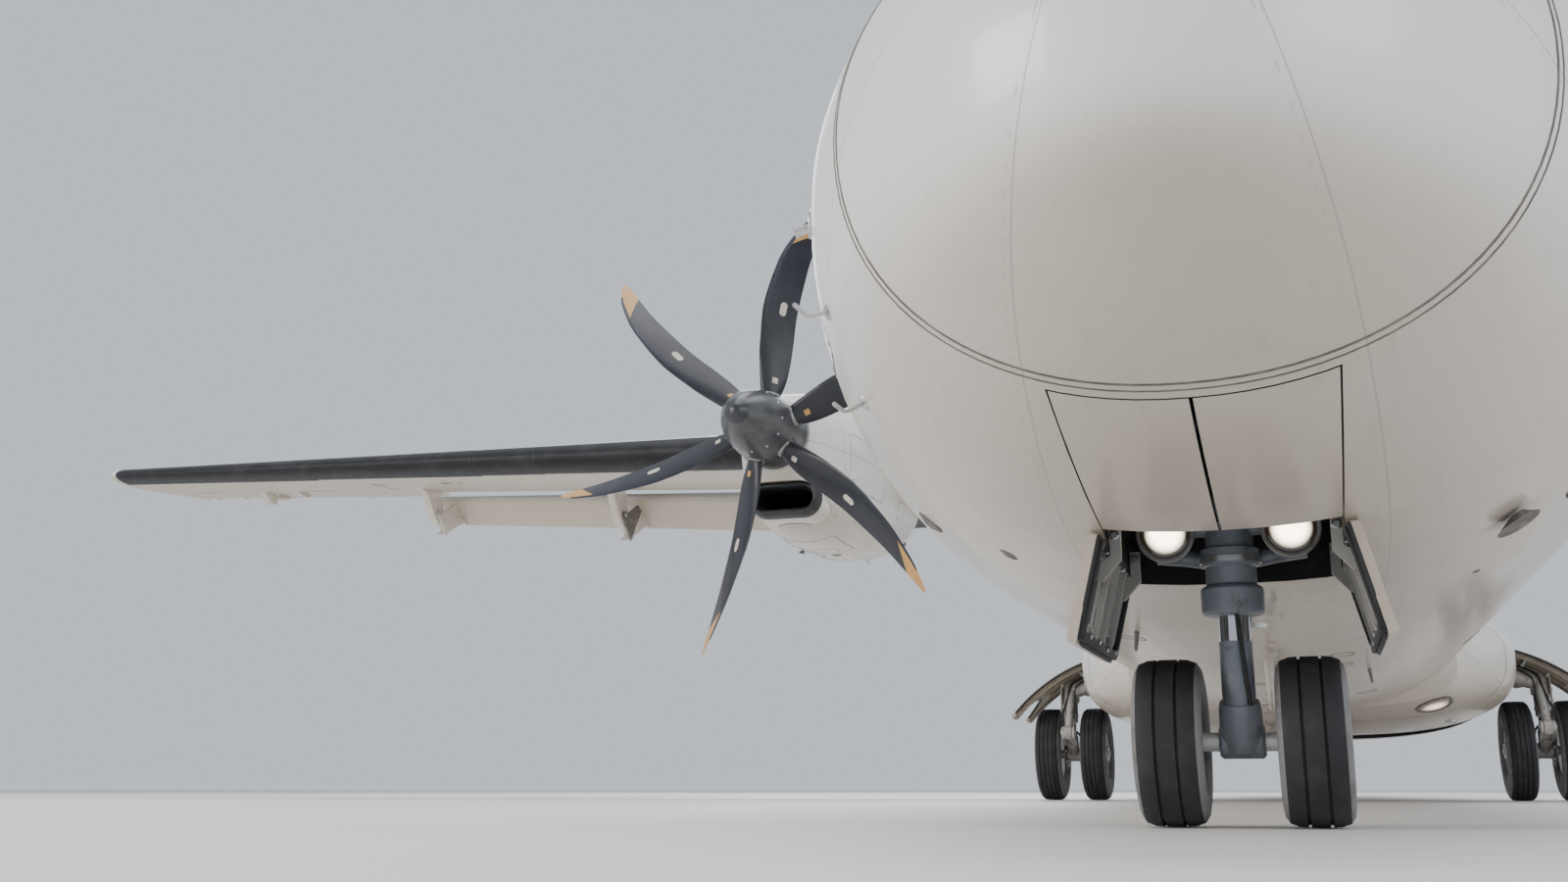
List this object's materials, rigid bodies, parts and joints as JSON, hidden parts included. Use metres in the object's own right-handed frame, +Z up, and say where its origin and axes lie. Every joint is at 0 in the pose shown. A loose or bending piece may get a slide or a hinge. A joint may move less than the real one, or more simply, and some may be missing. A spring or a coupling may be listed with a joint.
{
  "type": "twin turboprop airliner",
  "caption": "High-wing airliner with a T-tail and two wing-mounted propeller engines, standing on its wheels with the flaps lowered.",
  "frame": {"origin": "on the ground under the middle of the overall length, on the centreline", "axes": "+X forward to the nose, +Y to port, +Z up"},
  "size_m": [27.166, 27.05, 7.65],
  "materials": {
    "white_paint": "gloss white paint on light alloy skin",
    "grey_paint": "satin light grey paint on light alloy skin",
    "windscreen": "heated laminated glass, dark inside",
    "black_boot": "black de-icing boot",
    "engine_metal": "bare machined metal",
    "hot_metal": "heat-stained metal",
    "blade": "dark painted composite with orange-yellow tips",
    "spinner": "satin grey paint",
    "gear_metal": "grey painted and plated steel",
    "wheel_metal": "painted cast wheel halves",
    "tyre": "worn black rubber"
  },
  "bodies": {
    "airframe": {"nose_fuselage": "white_paint", "forward_fuselage": "white_paint", "centre_fuselage": "white_paint", "aft_fuselage": "white_paint", "tail_fuselage": "white_paint", "belly_fairing": "white_paint", "wing_fairing": "white_paint", "service_door": "white_paint", "fin": "white_paint", "tailplane": "white_paint", "windscreen": "windscreen", "nacelle_left": "white_paint", "nose_gear_door_front_left": "white_paint", "nose_gear_door_rear_left": "white_paint", "main_gear_door_left": "white_paint", "wing_outer_left": "grey_paint", "air_intake_left": "black_boot", "engine_left": "engine_metal", "exhaust_nozzle_left": "hot_metal", "main_gear_leg_left": "gear_metal", "main_gear_arm_left": "gear_metal", "nacelle_right": "white_paint", "nose_gear_door_front_right": "white_paint", "nose_gear_door_rear_right": "white_paint", "main_gear_door_right": "white_paint", "wing_outer_right": "grey_paint", "air_intake_right": "black_boot", "engine_right": "engine_metal", "exhaust_nozzle_right": "hot_metal", "main_gear_leg_right": "gear_metal", "main_gear_arm_right": "gear_metal", "wing_centre": "grey_paint", "nose_gear_leg": "gear_metal"},
    "propeller_left": {"propeller_left": "blade", "spinner_left": "spinner"},
    "propeller_right": {"propeller_right": "blade", "spinner_right": "spinner"},
    "nose_fork": {"nose_gear_fork": "gear_metal"},
    "nose_wheel_pair": {"nose_wheels": "wheel_metal", "nose_tyre_left": "tyre", "nose_tyre_right": "tyre"},
    "main_wheel_pair_left": {"main_wheels_left": "wheel_metal", "main_tyre_inner_left": "tyre", "main_tyre_outer_left": "tyre"},
    "main_wheel_pair_right": {"main_wheels_right": "wheel_metal", "main_tyre_inner_right": "tyre", "main_tyre_outer_right": "tyre"},
    "flap_inner_left": {"flap_inner_left": "grey_paint"},
    "flap_inner_right": {"flap_inner_right": "grey_paint"},
    "flap_outer_left": {"flap_outer_left": "grey_paint"},
    "flap_outer_right": {"flap_outer_right": "grey_paint"},
    "aileron_left": {"aileron_left": "grey_paint"},
    "aileron_right": {"aileron_right": "grey_paint"},
    "elevator_left": {"elevator_left": "white_paint"},
    "elevator_right": {"elevator_right": "white_paint"},
    "rudder": {"rudder": "white_paint"},
    "cargo_door": {"cargo_door": "white_paint"},
    "passenger_door": {"passenger_door": "white_paint"}
  },
  "joints": [
    {"name": "propeller_left_spin", "type": "hinge", "parent": "airframe", "child": "propeller_left", "pos_m": [4.25, 4.05, 3.07], "axis": [1, 0, 0], "continuous": true},
    {"name": "main_wheels_left_spin", "type": "hinge", "parent": "airframe", "child": "main_wheel_pair_left", "pos_m": [0.9, 2.05, 0.43], "axis": [0, 1, 0], "continuous": true},
    {"name": "propeller_right_spin", "type": "hinge", "parent": "airframe", "child": "propeller_right", "pos_m": [4.25, -4.05, 3.07], "axis": [1, 0, 0], "continuous": true},
    {"name": "main_wheels_right_spin", "type": "hinge", "parent": "airframe", "child": "main_wheel_pair_right", "pos_m": [0.9, -2.05, 0.43], "axis": [0, 1, 0], "continuous": true},
    {"name": "nose_steering", "type": "hinge", "parent": "airframe", "child": "nose_fork", "pos_m": [11.67, 0, 0.6], "axis": [0, 0, 1], "range_deg": [-60, 60]},
    {"name": "nose_wheels_spin", "type": "hinge", "parent": "nose_fork", "child": "nose_wheel_pair", "pos_m": [11.625, 0, 0.225], "axis": [0, 1, 0], "continuous": true},
    {"name": "flap_inner_left_hinge", "type": "hinge", "parent": "airframe", "child": "flap_inner_left", "pos_m": [0.301, 1.95, 3.00109], "axis": [0, 1, 0], "range_deg": [-5, 30]},
    {"name": "flap_outer_left_hinge", "type": "hinge", "parent": "airframe", "child": "flap_outer_left", "pos_m": [0.30893, 5.1, 3.02285], "axis": [0.0226, 0.9978, 0.062], "range_deg": [-5, 30]},
    {"name": "aileron_left_hinge", "type": "hinge", "parent": "airframe", "child": "aileron_left", "pos_m": [0.33524, 9.79, 3.67101], "axis": [0.0272, 0.9988, 0.0419], "range_deg": [-14, 14]},
    {"name": "elevator_left_hinge", "type": "hinge", "parent": "airframe", "child": "elevator_left", "pos_m": [-12.39683, 0.15, 7.25964], "axis": [-0.0082, 1, 0.0013], "range_deg": [-13, 23]},
    {"name": "flap_inner_right_hinge", "type": "hinge", "parent": "airframe", "child": "flap_inner_right", "pos_m": [0.301, -1.95, 3.00109], "axis": [0, 1, 0], "range_deg": [-5, 30]},
    {"name": "flap_outer_right_hinge", "type": "hinge", "parent": "airframe", "child": "flap_outer_right", "pos_m": [0.30893, -5.1, 3.02285], "axis": [-0.0226, 0.9978, -0.062], "range_deg": [-5, 30]},
    {"name": "aileron_right_hinge", "type": "hinge", "parent": "airframe", "child": "aileron_right", "pos_m": [0.33524, -9.79, 3.67101], "axis": [-0.0272, 0.9988, -0.0419], "range_deg": [-14, 14]},
    {"name": "elevator_right_hinge", "type": "hinge", "parent": "airframe", "child": "elevator_right", "pos_m": [-12.39683, -0.15, 7.25964], "axis": [0.0082, 1, -0.0013], "range_deg": [-13, 23]},
    {"name": "rudder_hinge", "type": "hinge", "parent": "airframe", "child": "rudder", "pos_m": [-11.09925, 0, 3.47], "axis": [-0.3633, 0, 0.9317], "range_deg": [-27, 27]},
    {"name": "cargo_door_hinge", "type": "hinge", "parent": "airframe", "child": "cargo_door", "pos_m": [9.688, 1.352, 2.5], "axis": [1, 0, 0], "range_deg": [0, 115]},
    {"name": "passenger_door_hinge", "type": "hinge", "parent": "airframe", "child": "passenger_door", "pos_m": [-6.645, 1.222, 1.4], "axis": [-0.9945, -0.1045, 0], "range_deg": [0, 130]}
  ],
  "couplings": [
    {"joint": "flap_inner_right_hinge", "follows": "flap_inner_left_hinge", "ratio": 1},
    {"joint": "flap_outer_left_hinge", "follows": "flap_inner_left_hinge", "ratio": 1},
    {"joint": "flap_outer_right_hinge", "follows": "flap_inner_left_hinge", "ratio": 1},
    {"joint": "aileron_right_hinge", "follows": "aileron_left_hinge", "ratio": -1},
    {"joint": "elevator_right_hinge", "follows": "elevator_left_hinge", "ratio": 1}
  ]
}
